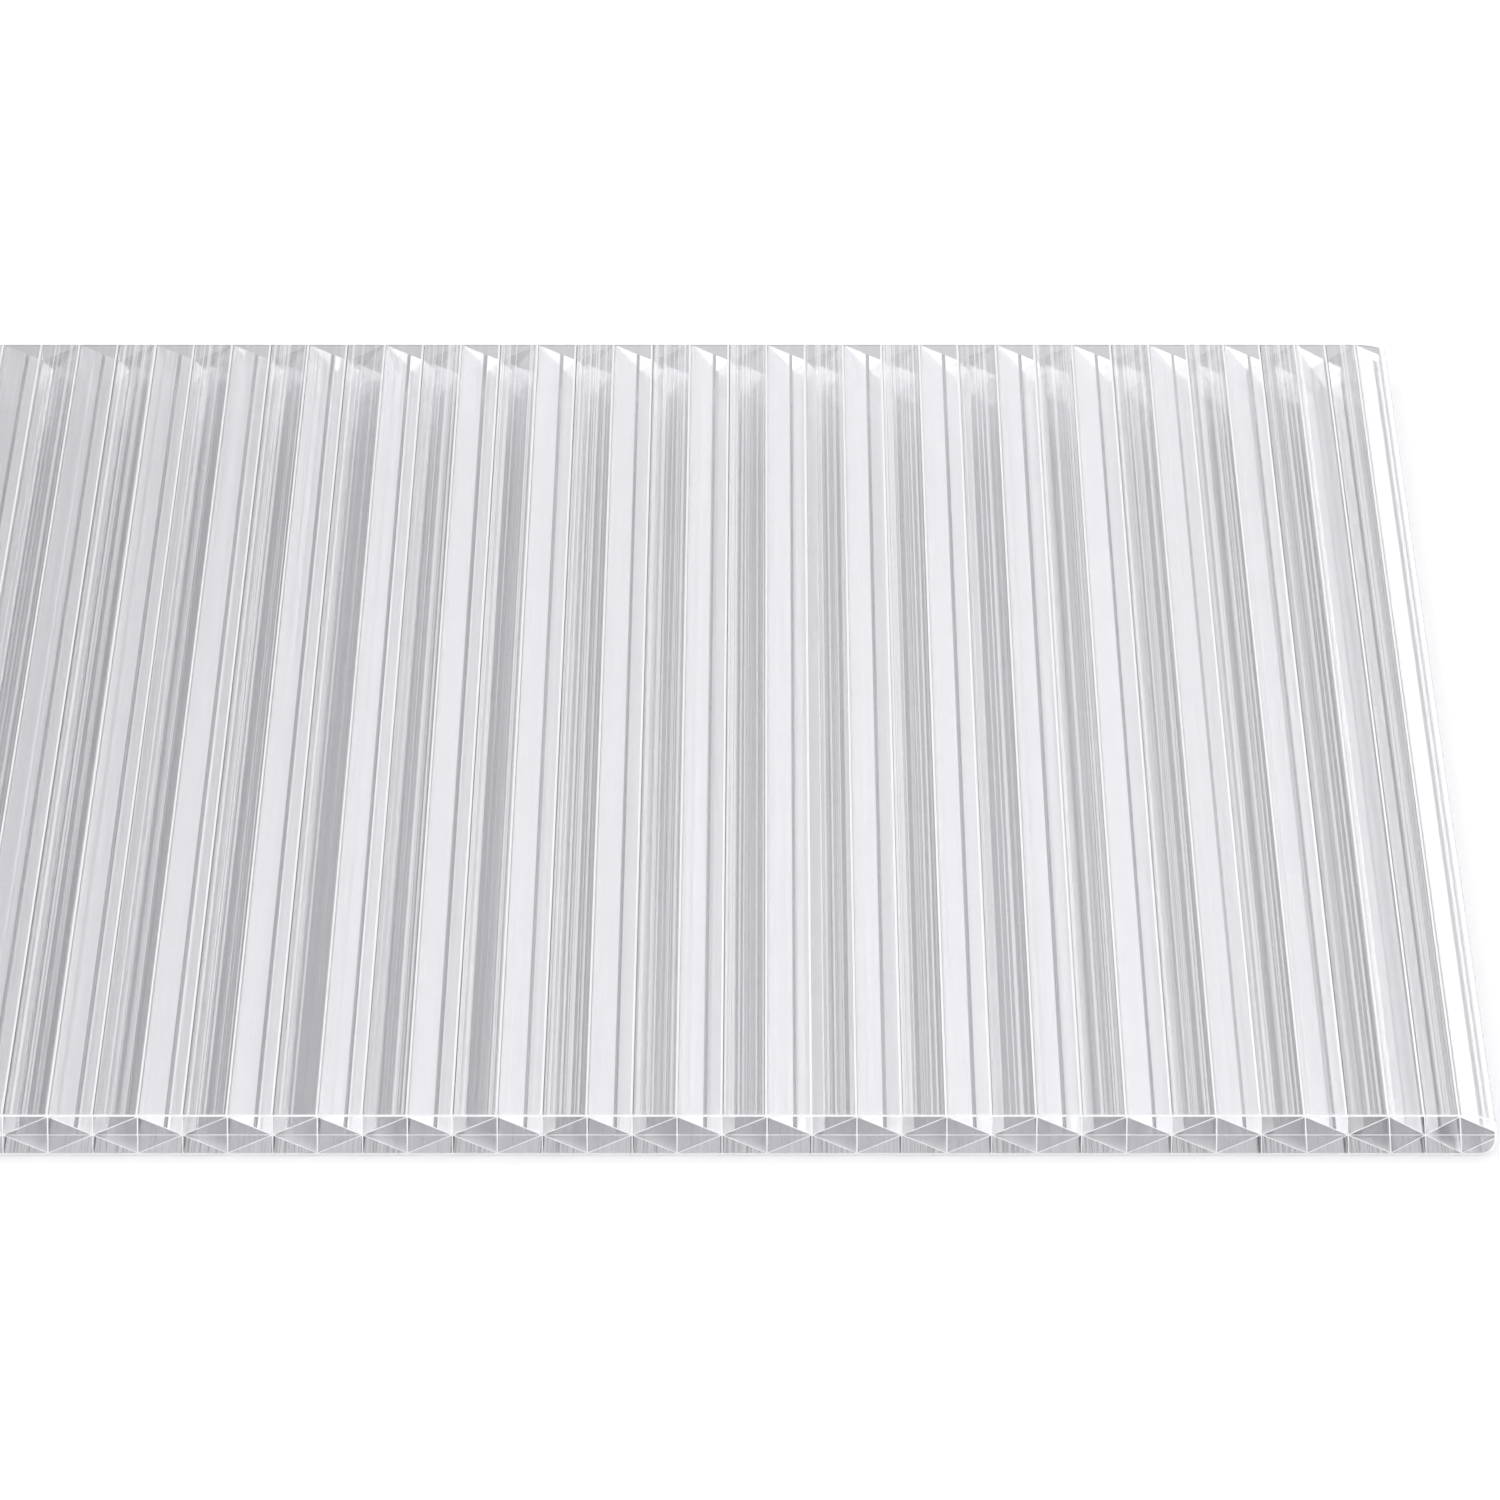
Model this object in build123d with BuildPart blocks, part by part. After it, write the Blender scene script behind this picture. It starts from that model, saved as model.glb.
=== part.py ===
from build123d import *

import math
import os

# Multiwall polycarbonate sheet, 16 mm thick, extruded in one piece with an X-braced section.
# Sizes are in millimetres. The flutes run along Y, the width lies along X and the sheet lies flat,
# with its lower skin on Z = 0 and the origin at the middle of that skin.

# The sheet as it is cut and sold
sheet_width = 980.0
sheet_length = 1000.0
sheet_thickness = 16.0

# Walls of the section
skin_wall = 0.8
main_rib_wall = 0.5
centre_rib_wall = 0.4
brace_wall = 0.3
middle_wall = 0.25

# Chambers: one chamber lies between two main ribs and has a centre rib and crossed braces in it
nominal_chamber_pitch = 33.5
edge_chamber_pitches = (32.9, 31.3, 26.4)  # the last chambers narrow towards each long edge
edge_flute_width = 13.8  # from the last main rib to the outside of the long edge
edge_rib_lean = 0.9  # the ribs near each edge stand this far further out at the foot
edge_brace_gap = 1.2  # where the last braces meet the edge wall, above and below the middle wall

# Square corners of the flutes, where a rib meets a skin or the middle wall
square_corner_radius = 0.35

# Outside corners of the long edges: the top falls away in a long shoulder and a short corner,
# the bottom is plainly round
shoulder_run = 14.0  # from the long edge in to where the top is flat
shoulder_fall = 4.7  # from the top down to where the side is upright
top_corner_radius = 3.3
bottom_corner_radius = 6.0

# Levels and half sizes that the section is drawn with
half_width = sheet_width / 2
middle_level = sheet_thickness / 2
inner_top = sheet_thickness - skin_wall
inner_bottom = skin_wall
edge_wall_x = half_width - skin_wall / 2

# The shoulder's arc runs smoothly out of the top corner's arc and into the flat top
shoulder_radius = (
    shoulder_run**2 - 2 * shoulder_run * top_corner_radius + shoulder_fall**2
) / (2 * (shoulder_fall - top_corner_radius))
shoulder_angle = math.degrees(
    math.atan2(shoulder_run - top_corner_radius, shoulder_radius - shoulder_fall)
)

# Main ribs, from the left edge to the right one, as (x at the head, x at the foot)
edge_zone = edge_flute_width + sum(edge_chamber_pitches)
middle_zone = sheet_width - 2 * edge_zone
chamber_count = round(middle_zone / nominal_chamber_pitch)
chamber_pitch = middle_zone / chamber_count
middle_ribs = []
for index in range(chamber_count + 1):
    rib_x = index * chamber_pitch - middle_zone / 2
    middle_ribs.append((rib_x, rib_x))
right_ribs = []
rib_x = middle_zone / 2
for pitch in edge_chamber_pitches:
    rib_x += pitch
    right_ribs.append((rib_x, rib_x + edge_rib_lean))
left_ribs = [(-head, -foot) for head, foot in reversed(right_ribs)]
main_ribs = left_ribs + middle_ribs + right_ribs


def rib_line(head, foot):
    """Centre line of a rib, from its foot in the lower skin to its head in the upper one."""
    return Line((foot, skin_wall / 2), (head, sheet_thickness - skin_wall / 2))


def brace_line(first_rib_met):
    """Centre line of a zigzag of braces, from one long edge to the other by way of the main ribs.

    It meets the top skin at every second main rib, from the first or the second one on, and the
    bottom skin at those between.
    """
    points = []
    for index, (head, foot) in enumerate(main_ribs):
        at_top = index % 2 == first_rib_met
        points.append((head, inner_top) if at_top else (foot, inner_bottom))
    left_side = 1 if first_rib_met == 0 else -1
    right_side = 1 if (len(main_ribs) - 1) % 2 == first_rib_met else -1
    left_end = (-edge_wall_x, middle_level + left_side * edge_brace_gap)
    right_end = (edge_wall_x, middle_level + right_side * edge_brace_gap)
    return Polyline(left_end, *points, right_end)


# Outside of the section
with BuildSketch() as outside:
    with BuildLine():
        underside = Line((0, 0), (half_width - bottom_corner_radius, 0))
        bottom_corner = JernArc(underside @ 1, underside % 1, bottom_corner_radius, 90)
        side = Line(bottom_corner @ 1, (half_width, sheet_thickness - shoulder_fall))
        top_corner = JernArc(side @ 1, side % 1, top_corner_radius, 90 - shoulder_angle)
        shoulder = JernArc(top_corner @ 1, top_corner % 1, shoulder_radius, shoulder_angle)
        Line(shoulder @ 1, (0, sheet_thickness))
        mirror(about=Plane.YZ)
    make_face()

# Flutes of the section: one wide hollow inside the skins, which the walls divide
with BuildSketch() as flutes:
    offset(outside.sketch, amount=-skin_wall)
    with BuildLine():
        for head, foot in main_ribs:
            rib_line(head, foot)
    trace(line_width=main_rib_wall, mode=Mode.SUBTRACT)
    with BuildLine():
        for (left_head, left_foot), (right_head, right_foot) in zip(main_ribs, main_ribs[1:]):
            rib_line((left_head + right_head) / 2, (left_foot + right_foot) / 2)
    trace(line_width=centre_rib_wall, mode=Mode.SUBTRACT)
    with BuildLine():
        Line((-edge_wall_x, middle_level), (edge_wall_x, middle_level))
    trace(line_width=middle_wall, mode=Mode.SUBTRACT)
    for first_rib_met in (0, 1):
        with BuildLine():
            brace_line(first_rib_met)
        trace(line_width=brace_wall, mode=Mode.SUBTRACT)

    # Between the outermost ribs every flute is three-cornered, and its square corner, the one
    # farthest from its brace, is rounded
    outermost_rib_x = main_ribs[-1][0]
    square_corners = []
    for flute in flutes.faces().filter_by(lambda face: abs(face.center().X) < outermost_rib_x):
        brace_side = flute.edges().sort_by(SortBy.LENGTH)[-1]
        square_corners.append(flute.vertices().sort_by_distance(brace_side)[-1])
    fillet(square_corners, square_corner_radius)

# The sheet, extruded from its section
with BuildPart() as multiwall_sheet:
    with BuildSketch(Plane.XZ.offset(sheet_length / 2)):
        add(outside.sketch)
        add(flutes.sketch, mode=Mode.SUBTRACT)
    extrude(amount=-sheet_length)

multiwall_sheet.part.label = "multiwall_sheet"
os.makedirs("parts", exist_ok=True)
export_step(multiwall_sheet.part, "parts/multiwall_sheet.step")
print("chambers", chamber_count, "pitch", round(chamber_pitch, 3), "flutes", len(flutes.faces()))
print("volume", multiwall_sheet.part.volume, "faces", len(multiwall_sheet.part.faces()))
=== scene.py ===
"""A clear multiwall polycarbonate sheet, lying flat on a white studio floor."""

import math

import bmesh
import bpy
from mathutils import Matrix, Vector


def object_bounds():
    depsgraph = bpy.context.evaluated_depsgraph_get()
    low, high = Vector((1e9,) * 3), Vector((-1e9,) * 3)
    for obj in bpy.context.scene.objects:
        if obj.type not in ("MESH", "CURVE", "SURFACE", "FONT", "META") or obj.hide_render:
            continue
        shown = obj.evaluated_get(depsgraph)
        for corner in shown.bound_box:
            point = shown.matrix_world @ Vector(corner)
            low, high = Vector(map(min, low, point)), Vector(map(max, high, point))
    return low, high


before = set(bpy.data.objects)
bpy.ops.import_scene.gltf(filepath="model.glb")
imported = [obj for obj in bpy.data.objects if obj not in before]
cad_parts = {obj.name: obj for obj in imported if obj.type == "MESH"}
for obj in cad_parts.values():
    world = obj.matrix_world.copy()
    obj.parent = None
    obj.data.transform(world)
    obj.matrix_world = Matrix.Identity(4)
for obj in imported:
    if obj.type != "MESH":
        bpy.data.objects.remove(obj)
cad_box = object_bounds()

scene = bpy.context.scene
scene.view_settings.view_transform = "Standard"


# Camera: a long lens, well back from the cut end, looks down on the sheet along its flutes.
# It stands over the right of the middle, so the left of the sheet runs out of the picture.
image_width = 1500
sensor_width = 36.0
long_lens = 341.6
camera_tilt = math.radians(18.3)  # below level
camera_x = 0.2183
camera_back = 5.494  # from the middle of the sheet
camera_height = 1.8108
flute_column = 768  # of the picture, where the flutes run straight up
view_end = 500  # farther than the whole floor

camera_data = bpy.data.cameras.new("camera")
camera = bpy.data.objects.new("camera", camera_data)
scene.collection.objects.link(camera)
camera_data.sensor_width = sensor_width
camera_data.lens = long_lens
camera_data.clip_end = view_end
camera_data.shift_x = (image_width / 2 - flute_column) / image_width
camera.location = (camera_x, -camera_back, camera_height)
camera.rotation_euler = (math.radians(90) - camera_tilt, 0, 0)
scene.camera = camera


# The studio floor is a wide plain white sweep that the sheet rests on. It keeps the sheet's faint
# shadow, which the camera sees lightened, and through clear plastic it shows as an even pale grey glow,
# painted shade for the floor under the sheet.
floor_drop = 0.0003  # below the sheet, so that the two faces don't coincide
floor_half = 60.0
shadow_share = 0.5  # of the shadow's darkness that the camera sees


def linear(hex_colour):
    """An sRGB hex colour as linear red, green, blue and a full alpha."""
    values = []
    for digit in (1, 3, 5):
        share = int(hex_colour[digit:digit + 2], 16) / 255
        values.append(share / 12.92 if share <= 0.04045 else ((share + 0.055) / 1.055) ** 2.4)
    return (*values, 1.0)


def add_node(tree, kind, links=None, **settings):
    """Add a node, set its attributes, and give its inputs their values or link other sockets into them."""
    node = tree.nodes.new(kind)
    for name, value in settings.items():
        setattr(node, name, value)
    for name, value in (links or {}).items():
        if isinstance(value, bpy.types.NodeSocket):
            tree.links.new(value, node.inputs[name])
        else:
            node.inputs[name].default_value = value
    return node


def new_material(name):
    """An empty node material, its tree and its output node."""
    material = bpy.data.materials.new(name)
    material.use_nodes = True
    material.node_tree.nodes.clear()
    return material, material.node_tree, material.node_tree.nodes.new("ShaderNodeOutputMaterial")


floor_mesh = bmesh.new()
bmesh.ops.create_grid(floor_mesh, x_segments=1, y_segments=1, size=floor_half)
floor_data = bpy.data.meshes.new("studio_floor")
floor_mesh.to_mesh(floor_data)
floor_mesh.free()
floor = bpy.data.objects.new("studio_floor", floor_data)
scene.collection.objects.link(floor)
floor.location.z = cad_box[0][2] - floor_drop
material, tree, output = new_material("white_studio_sweep")
matte = add_node(tree, "ShaderNodeBsdfDiffuse", {"Color": linear("#F9F9FA")})
white = add_node(tree, "ShaderNodeEmission", {"Color": linear("#FFFFFF"), "Strength": 1.0})
# Painted shade: rays that come through the plastic see an even pale grey glow in place of the shaded floor
# under the sheet
painted_shade_under_sheet = add_node(tree, "ShaderNodeEmission", {"Color": linear("#D2D1D5"), "Strength": 1.0})
rays = add_node(tree, "ShaderNodeLightPath")
white_share = add_node(
    tree, "ShaderNodeMath", {0: rays.outputs["Is Camera Ray"], 1: 1 - shadow_share}, operation="MULTIPLY")
seen = add_node(
    tree, "ShaderNodeMixShader", {0: white_share.outputs[0], 1: matte.outputs[0], 2: white.outputs[0]})
floor_look = add_node(
    tree, "ShaderNodeMixShader",
    {0: rays.outputs["Is Transmission Ray"], 1: seen.outputs[0], 2: painted_shade_under_sheet.outputs[0]})
tree.links.new(floor_look.outputs[0], output.inputs["Surface"])
material.cycles.emission_sampling = "NONE"  # the floor is no lamp
floor_data.materials.append(material)


# The sheet is clear polycarbonate, extruded in one piece and sawn to length. Every wall bends and
# mirrors what is around it. The braces that fall to the right carry a painted reflection, pearly white, of
# the bright light they mirror. The die leaves cloudy lines along the flutes and a sink line along each
# falling brace, and a painted highlight runs as a pale line over each rib.
half_width = cad_box[1][0]
half_length = cad_box[1][1]
half_thickness = cad_box[1][2] / 2
skin_deep = 0.0001  # a point this near to an outside face or a sawn end is on it
edge_flute = 0.0138  # from the last main rib to the long edge
edge_chambers = (0.0329, 0.0313, 0.0264)  # the narrowing chambers, from the middle outwards
even_chambers = 23  # alike, in the middle of the sheet
even_half = half_width - edge_flute - sum(edge_chambers)
rib_step = even_half / even_chambers  # from each main rib to the centre rib beside it

# The walls are told apart by their normals: across the sheet, and across times up
least_slope, most_slope = 0.30, 0.56  # a brace's normal, across
least_fall = 0.2  # across times up, of a face that falls to the right
least_slant = 0.065  # across times up, of a brace or a round corner

# A painted highlight: a pale line over each rib on the outside faces
rib_highlight_half = 0.00042
rib_highlight_shift = 0.0003  # to the left of the rib, so that the rib's own dark hairline stays beside it
rib_highlight_share = 0.85  # opaque share of the painted highlight lines
sink_place = 0.0104  # from a main rib to the sink line on its right
sink_full, sink_none = 0.00055, 0.00085  # half widths of the sink line
sink_tilt = -0.6  # change of the brace's slope in it
fine_line = 0.0011  # from one die line to the next: real ones are finer, and wouldn't show
line_length = 12.0  # along the flutes, so that the lines run nearly unchanged from end to end
painted_reflection_least, painted_reflection_most = 0.9, 0.94  # opaque share of the painted reflection on a falling brace, from line to line
painted_reflection_from, painted_reflection_to = 0.35, 0.62  # the lines' noise there
painted_reflection_through = 0.28  # share of the brace, up to its sink line, that passes light as milk glass does and dims the painted reflection there
rising_painted_reflection = 0.0047  # width of the painted reflection on each rising brace, from the centre rib to its right
rising_share = 0.65  # of that painted reflection, next to the painted reflection of the falling braces
junction_highlight_share = 0.8  # opaque share of the round corners, where the walls run into one another: a painted highlight along the ribs
past_last_rib = 0.001  # how far past the last main rib the round corners carry this painted highlight
haze_most = 0.5  # opaque share of the outside faces where a die line is cloudy
haze_from, haze_to = 0.48, 0.58  # the lines' noise there
left_haze = 0.3  # share of that haze over the left half of each chamber
polycarbonate_ior = 1.585
bow = 0.01  # a brace's change of slope from its middle to its ends
waviness = 0.009  # change of slope from one die line to the next
wave_from, wave_to = 0.3, 0.7  # the lines' noise there

material, tree, output = new_material("clear_extruded_polycarbonate")
position = add_node(tree, "ShaderNodeTexCoord")
place = add_node(tree, "ShaderNodeSeparateXYZ", {0: position.outputs["Object"]})
facing = add_node(tree, "ShaderNodeSeparateXYZ", {0: position.outputs["Normal"]})

# Which wall this is
lean = add_node(
    tree, "ShaderNodeMath", {0: facing.outputs["X"], 1: facing.outputs["Z"]}, operation="MULTIPLY")
across = add_node(tree, "ShaderNodeMath", {0: facing.outputs["X"]}, operation="ABSOLUTE")
leans_right = add_node(tree, "ShaderNodeMath", {0: lean.outputs[0], 1: least_fall}, operation="GREATER_THAN")
under_most = add_node(tree, "ShaderNodeMath", {0: across.outputs[0], 1: most_slope}, operation="LESS_THAN")
over_least = add_node(
    tree, "ShaderNodeMath", {0: across.outputs[0], 1: least_slope}, operation="GREATER_THAN")
falls = add_node(
    tree, "ShaderNodeMath", {0: leans_right.outputs[0], 1: under_most.outputs[0]}, operation="MULTIPLY")
is_brace = add_node(
    tree, "ShaderNodeMath", {0: over_least.outputs[0], 1: under_most.outputs[0]}, operation="MULTIPLY")
rises = add_node(
    tree, "ShaderNodeMath", {0: is_brace.outputs[0], 1: falls.outputs[0]}, operation="SUBTRACT")
slant = add_node(tree, "ShaderNodeMath", {0: lean.outputs[0]}, operation="ABSOLUTE")
is_slant = add_node(
    tree, "ShaderNodeMath", {0: slant.outputs[0], 1: least_slant}, operation="GREATER_THAN")
is_corner = add_node(
    tree, "ShaderNodeMath", {0: is_slant.outputs[0], 1: is_brace.outputs[0]}, operation="SUBTRACT")
off_centre = add_node(tree, "ShaderNodeMath", {0: place.outputs["X"]}, operation="ABSOLUTE")
is_braced = add_node(
    tree, "ShaderNodeMath",
    {0: off_centre.outputs[0], 1: half_width - edge_flute + past_last_rib},
    operation="LESS_THAN")
is_junction = add_node(
    tree, "ShaderNodeMath", {0: is_corner.outputs[0], 1: is_braced.outputs[0]}, operation="MULTIPLY")
from_middle_wall = add_node(
    tree, "ShaderNodeMath", {0: place.outputs["Z"], 1: half_thickness}, operation="SUBTRACT")
off_middle_wall = add_node(tree, "ShaderNodeMath", {0: from_middle_wall.outputs[0]}, operation="ABSOLUTE")
is_outside = add_node(
    tree, "ShaderNodeMath", {0: off_middle_wall.outputs[0], 1: half_thickness - skin_deep},
    operation="GREATER_THAN")
off_middle = add_node(tree, "ShaderNodeMath", {0: place.outputs["Y"]}, operation="ABSOLUTE")
is_end = add_node(
    tree, "ShaderNodeMath", {0: off_middle.outputs[0], 1: half_length - skin_deep}, operation="GREATER_THAN")

# Painted highlights on the outside faces, as pale lines: over each evenly spaced rib, and over the ribs by
# the long edges
shifted = add_node(
    tree, "ShaderNodeMath", {0: place.outputs["X"], 1: rib_highlight_shift}, operation="ADD")
from_middle = add_node(tree, "ShaderNodeMath", {0: shifted.outputs[0]}, operation="ABSOLUTE")
to_rib = add_node(
    tree, "ShaderNodeMath", {0: from_middle.outputs[0], 1: rib_step / 2}, operation="PINGPONG")
near_rib = add_node(
    tree, "ShaderNodeMath", {0: to_rib.outputs[0], 1: rib_highlight_half}, operation="LESS_THAN")
is_even = add_node(
    tree, "ShaderNodeMath", {0: from_middle.outputs[0], 1: even_half + rib_highlight_half}, operation="LESS_THAN")
over_rib = add_node(
    tree, "ShaderNodeMath", {0: near_rib.outputs[0], 1: is_even.outputs[0]}, operation="MULTIPLY")
main_rib = even_half
for chamber in edge_chambers:
    for rib in (main_rib + chamber / 2, main_rib + chamber):
        over_this_rib = add_node(
            tree, "ShaderNodeMath", {0: from_middle.outputs[0], 1: rib, 2: rib_highlight_half},
            operation="COMPARE")
        over_rib = add_node(
            tree, "ShaderNodeMath", {0: over_rib.outputs[0], 1: over_this_rib.outputs[0]},
            operation="MAXIMUM")
    main_rib += chamber
painted_rib_highlight = add_node(
    tree, "ShaderNodeMath", {0: over_rib.outputs[0], 1: is_outside.outputs[0]}, operation="MULTIPLY")

# The sink line of each falling brace
from_sink = add_node(
    tree, "ShaderNodeMath", {0: place.outputs["X"], 1: rib_step + sink_place}, operation="SUBTRACT")
to_sink = add_node(
    tree, "ShaderNodeMath", {0: from_sink.outputs[0], 1: rib_step}, operation="PINGPONG")
near_sink = add_node(
    tree, "ShaderNodeMapRange",
    {"Value": to_sink.outputs[0], "From Min": sink_none, "From Max": sink_full,
     "To Min": 0.0, "To Max": 1.0},
    interpolation_type="SMOOTHSTEP")
sink = add_node(
    tree, "ShaderNodeMath", {0: near_sink.outputs[0], 1: falls.outputs[0]}, operation="MULTIPLY")

# Die lines, and where across its chamber a point is: a main rib is at one step, its centre rib at two
drawn = add_node(
    tree, "ShaderNodeMapping",
    {"Vector": position.outputs["Object"], "Scale": (1 / fine_line, 1 / line_length, 1 / fine_line)})
lines = add_node(
    tree, "ShaderNodeTexNoise", {"Vector": drawn.outputs[0], "Scale": 1.0, "Detail": 3.0, "Roughness": 0.7})
in_chamber = add_node(
    tree, "ShaderNodeMath", {0: place.outputs["X"], 1: 3 * rib_step, 2: rib_step}, operation="WRAP")

# Painted reflection, pearly white: all of each falling brace, and a strip of each rising one
past_centre_rib = add_node(
    tree, "ShaderNodeMath",
    {0: in_chamber.outputs[0], 1: 2 * rib_step + rising_painted_reflection / 2, 2: rising_painted_reflection / 2},
    operation="COMPARE")
rises_painted = add_node(
    tree, "ShaderNodeMath", {0: past_centre_rib.outputs[0], 1: rises.outputs[0]}, operation="MULTIPLY")
is_painted_reflection = add_node(
    tree, "ShaderNodeMath", {0: rises_painted.outputs[0], 1: rising_share, 2: falls.outputs[0]},
    operation="MULTIPLY_ADD")
painted_reflection = add_node(
    tree, "ShaderNodeMapRange",
    {"Value": lines.outputs[0], "From Min": painted_reflection_from, "From Max": painted_reflection_to,
     "To Min": painted_reflection_least, "To Max": painted_reflection_most})
before_sink = add_node(
    tree, "ShaderNodeMath", {0: in_chamber.outputs[0], 1: rib_step + sink_place}, operation="LESS_THAN")
lets_through = add_node(
    tree, "ShaderNodeMath", {0: before_sink.outputs[0], 1: falls.outputs[0]}, operation="MULTIPLY")
milky_reflection_share = add_node(
    tree, "ShaderNodeMath", {0: lets_through.outputs[0], 1: painted_reflection_through}, operation="MULTIPLY")

# Haze: the outside faces, mostly over the right half of each chamber
haze = add_node(
    tree, "ShaderNodeMapRange",
    {"Value": lines.outputs[0], "From Min": haze_from, "From Max": haze_to,
     "To Min": 0.0, "To Max": haze_most})
right_half = add_node(
    tree, "ShaderNodeMath", {0: in_chamber.outputs[0], 1: 2 * rib_step}, operation="GREATER_THAN")
haze_share = add_node(
    tree, "ShaderNodeMath", {0: right_half.outputs[0], 1: 1 - left_haze, 2: left_haze},
    operation="MULTIPLY_ADD")
outside_share = add_node(
    tree, "ShaderNodeMath", {0: haze_share.outputs[0], 1: is_outside.outputs[0]}, operation="MULTIPLY")
haze_here = add_node(
    tree, "ShaderNodeMath", {0: haze.outputs[0], 1: outside_share.outputs[0]}, operation="MULTIPLY")

# The opaque share of each point, from all of these
with_painted_reflection = add_node(
    tree, "ShaderNodeMix", {0: is_painted_reflection.outputs[0], 2: haze_here.outputs[0], 3: painted_reflection.outputs[0]})
# The painted reflection stops at the sink line
with_sink = add_node(
    tree, "ShaderNodeMix", {0: sink.outputs[0], 2: with_painted_reflection.outputs[0], 3: 0.0})
with_junction_highlights = add_node(
    tree, "ShaderNodeMix", {0: is_junction.outputs[0], 2: with_sink.outputs[0], 3: junction_highlight_share})
haze_and_painted_light = add_node(
    tree, "ShaderNodeMix", {0: painted_rib_highlight.outputs[0], 2: with_junction_highlights.outputs[0], 3: rib_highlight_share})
through = add_node(tree, "ShaderNodeMath", {0: 1.0, 1: haze_and_painted_light.outputs[0]}, operation="SUBTRACT")

# Slopes: each brace sags a little between the walls that hold it, and every wall is wavy across
steps_across = add_node(
    tree, "ShaderNodeMath", {0: place.outputs["X"], 1: rib_step}, operation="DIVIDE")
along_brace = add_node(tree, "ShaderNodeMath", {0: steps_across.outputs[0]}, operation="FRACT")
sag = add_node(
    tree, "ShaderNodeMapRange", {"Value": along_brace.outputs[0], "To Min": bow, "To Max": -bow})
sag_here = add_node(
    tree, "ShaderNodeMath", {0: sag.outputs[0], 1: is_brace.outputs[0]}, operation="MULTIPLY")
wave = add_node(
    tree, "ShaderNodeMapRange",
    {"Value": lines.outputs[0], "From Min": wave_from, "From Max": wave_to,
     "To Min": -waviness, "To Max": waviness})
sunk = add_node(
    tree, "ShaderNodeMath", {0: sink.outputs[0], 1: sink_tilt, 2: wave.outputs[0]}, operation="MULTIPLY_ADD")
tilt = add_node(
    tree, "ShaderNodeMath", {0: sunk.outputs[0], 1: sag_here.outputs[0]}, operation="ADD")
slope = add_node(tree, "ShaderNodeCombineXYZ", {"X": tilt.outputs[0]})
surface = add_node(tree, "ShaderNodeNewGeometry")
tilted = add_node(
    tree, "ShaderNodeVectorMath", {0: surface.outputs["Normal"], 1: slope.outputs[0]}, operation="ADD")
normal = add_node(tree, "ShaderNodeVectorMath", {0: tilted.outputs[0]}, operation="NORMALIZE")

# Smooth extruded polycarbonate is as clear and shiny as glass, with a very faint blue cast. The painted
# reflections are white and shiny, some pass light as milk glass does, and the sawn ends are matte and nearly
# white.
clear = add_node(
    tree, "ShaderNodeBsdfPrincipled",
    {"Base Color": linear("#FEFEFF"), "Roughness": 0.0, "IOR": polycarbonate_ior,
     "Transmission Weight": through.outputs[0], "Normal": normal.outputs[0]})
milky_reflection = add_node(tree, "ShaderNodeBsdfTranslucent", {"Color": linear("#FEFEFF")})
body = add_node(
    tree, "ShaderNodeMixShader", {0: milky_reflection_share.outputs[0], 1: clear.outputs[0], 2: milky_reflection.outputs[0]})
sawn = add_node(
    tree, "ShaderNodeBsdfPrincipled",
    {"Base Color": linear("#F6F6F7"), "Roughness": 0.6, "IOR": polycarbonate_ior})
sheet_look = add_node(
    tree, "ShaderNodeMixShader", {0: is_end.outputs[0], 1: body.outputs[0], 2: sawn.outputs[0]})
tree.links.new(sheet_look.outputs[0], output.inputs["Surface"])
sheet = bpy.data.objects["multiwall_sheet"]
sheet.data.materials.clear()
sheet.data.materials.append(material)


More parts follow.
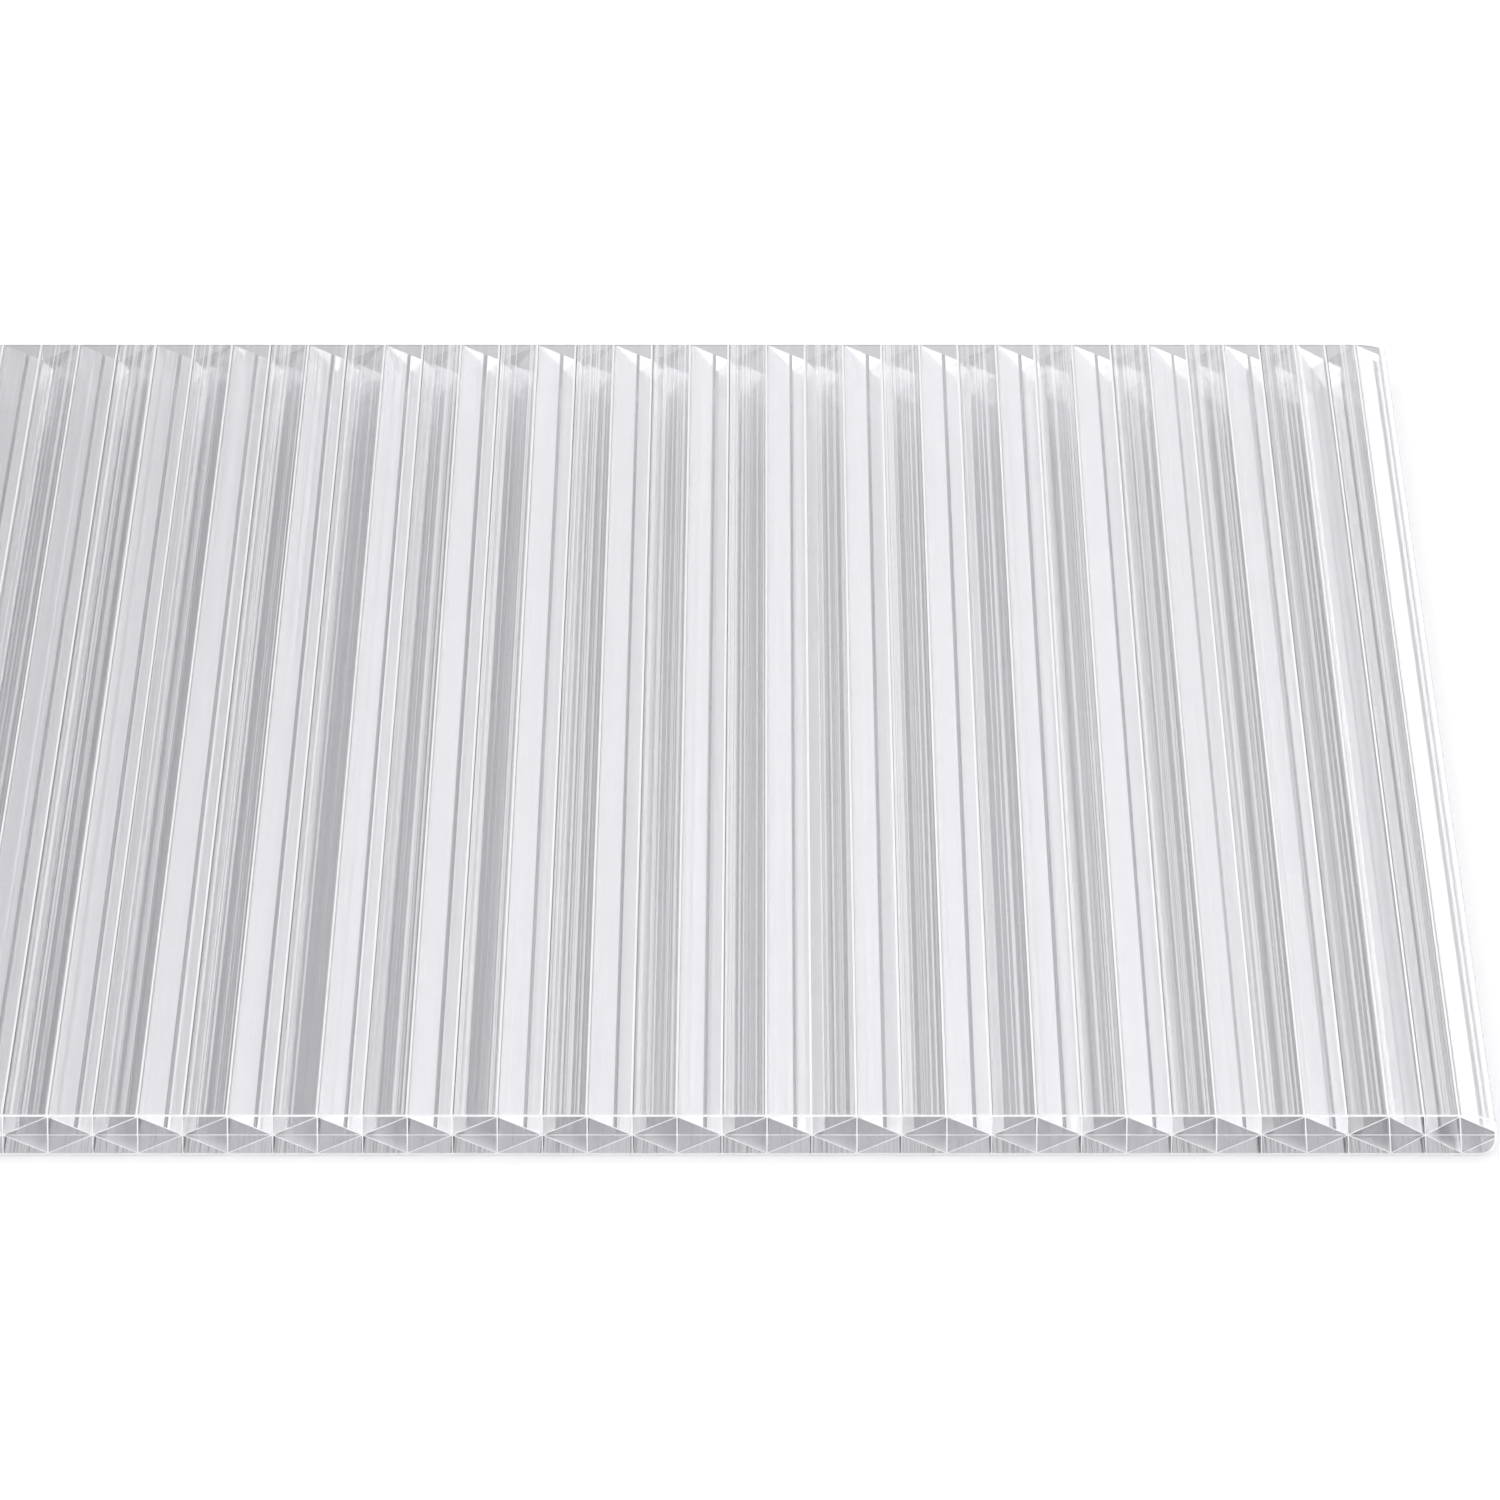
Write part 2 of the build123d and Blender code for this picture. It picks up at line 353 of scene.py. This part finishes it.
# The studio is a plain grey room, lighter to the right, with a bright ceiling and a dark card at each
# side, which draws the outline of the clear edges. A soft light stands low behind the sheet, to its
# right, so that it shines along the falling braces, and another stands opposite.
left_level = 0.34
right_level = 0.64
left_until, right_from = -0.07, 0.02  # a direction's unit arrow, across
ceiling_level = 1.45
ceiling_from, ceiling_full = 0.36, 0.52  # the arrow's height
card_level = 0.15
card_from, card_full = 0.78, 0.84  # the arrow, across to either side
glow_level = 4.2
glow_turn = math.radians(21)  # to the right of straight back
glow_rise = math.radians(8)
glow_full, glow_none = math.radians(10.6), math.radians(11.4)  # from the middle of the light
world = bpy.data.worlds.new("studio")
scene.world = world
world.use_nodes = True
world.cycles.sampling_method = "NONE"  # the lights reach the inner walls only through other walls
tree = world.node_tree
background = tree.nodes["Background"]
background.inputs["Color"].default_value = linear("#FDFDFF")
direction = add_node(tree, "ShaderNodeTexCoord").outputs["Generated"]
arrow = add_node(tree, "ShaderNodeSeparateXYZ", {0: direction})
wall = add_node(
    tree, "ShaderNodeMapRange",
    {"Value": arrow.outputs["X"], "From Min": left_until, "From Max": right_from, "To Min": left_level,
     "To Max": right_level},
    interpolation_type="SMOOTHSTEP")
room = add_node(
    tree, "ShaderNodeMapRange",
    {"Value": arrow.outputs["Z"], "From Min": ceiling_from, "From Max": ceiling_full,
     "To Min": wall.outputs[0], "To Max": ceiling_level},
    interpolation_type="SMOOTHSTEP")
to_side = add_node(tree, "ShaderNodeMath", {0: arrow.outputs["X"]}, operation="ABSOLUTE")
with_cards = add_node(
    tree, "ShaderNodeMapRange",
    {"Value": to_side.outputs[0], "From Min": card_from, "From Max": card_full, "To Min": room.outputs[0],
     "To Max": card_level},
    interpolation_type="SMOOTHSTEP")
total = with_cards.outputs[0]
for side in (1, -1):
    towards = (
        side * math.sin(glow_turn) * math.cos(glow_rise),
        side * math.cos(glow_turn) * math.cos(glow_rise),
        math.sin(glow_rise),
    )
    nearness = add_node(tree, "ShaderNodeVectorMath", {0: direction, 1: towards}, operation="DOT_PRODUCT")
    glow = add_node(
        tree, "ShaderNodeMapRange",
        {"Value": nearness.outputs["Value"], "From Min": math.cos(glow_none),
         "From Max": math.cos(glow_full), "To Min": 0.0, "To Max": glow_level - right_level},
        interpolation_type="SMOOTHSTEP")
    total = add_node(tree, "ShaderNodeMath", {0: total, 1: glow.outputs[0]}, operation="ADD").outputs[0]
tree.links.new(total, background.inputs["Strength"])

# Light passes many walls on its way through the sheet, and few matte faces
scene.cycles.max_bounces = 24
scene.cycles.transmission_bounces = 24
scene.cycles.glossy_bounces = 24
scene.cycles.diffuse_bounces = 1
scene.cycles.blur_glossy = 0.0
